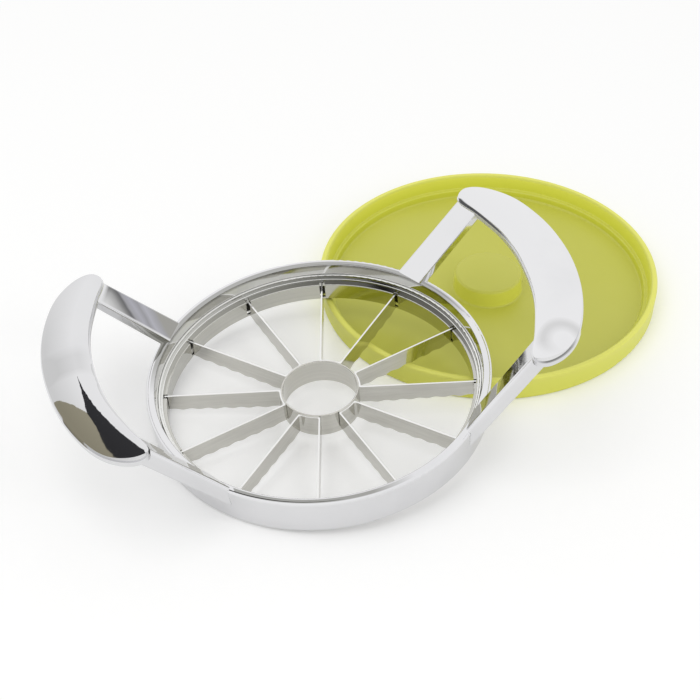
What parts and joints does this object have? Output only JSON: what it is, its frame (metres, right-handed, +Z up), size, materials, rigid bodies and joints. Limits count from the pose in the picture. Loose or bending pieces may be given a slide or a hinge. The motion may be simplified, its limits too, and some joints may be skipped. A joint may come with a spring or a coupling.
{
  "type": "apple slicer wedger",
  "caption": "Round fruit slicer with radial blades round a central core ring and two raised loop handles, leaning on the rim of its shallow round base with a central puck.",
  "frame": {"origin": "on the floor under the centre of the whole object's box, as it stands with the cutter leaning on the base", "axes": "+Z up from the floor, +X to the right along the longest side, +Y towards the side where the base lies"},
  "size_m": [0.2346, 0.2128, 0.0637],
  "materials": {
    "ring_chrome": "bright mirror chrome on a casting",
    "handle_chrome": "bright mirror chrome on a casting",
    "grip_chrome": "bright mirror chrome",
    "carrier_steel": "polished stainless sheet",
    "retainer_steel": "polished stainless",
    "core_steel": "polished stainless sheet",
    "blade_steel": "polished stainless strip with a wavy cutting edge",
    "base_plastic": "satin lime-green moulded plastic"
  },
  "bodies": {
    "base": {"base_dish": "base_plastic"},
    "cutter": {"outer_ring": "ring_chrome", "blade_carrier_ring": "carrier_steel", "retaining_ring": "retainer_steel", "core_ring": "core_steel", "handle_loop_right": "handle_chrome", "handle_loop_left": "handle_chrome", "grip_right": "grip_chrome", "grip_left": "grip_chrome", "blade_pair_right": "blade_steel", "blade_pair_back_right": "blade_steel", "blade_pair_back_left": "blade_steel", "blade_pair_left": "blade_steel", "blade_pair_front_left": "blade_steel", "blade_pair_front_right": "blade_steel"}
  },
  "joints": [
    {"name": "cutter_lift", "type": "slide", "parent": "base", "child": "cutter", "axis": [0, 0, 1], "range_m": [0, 0.1]}
  ]
}
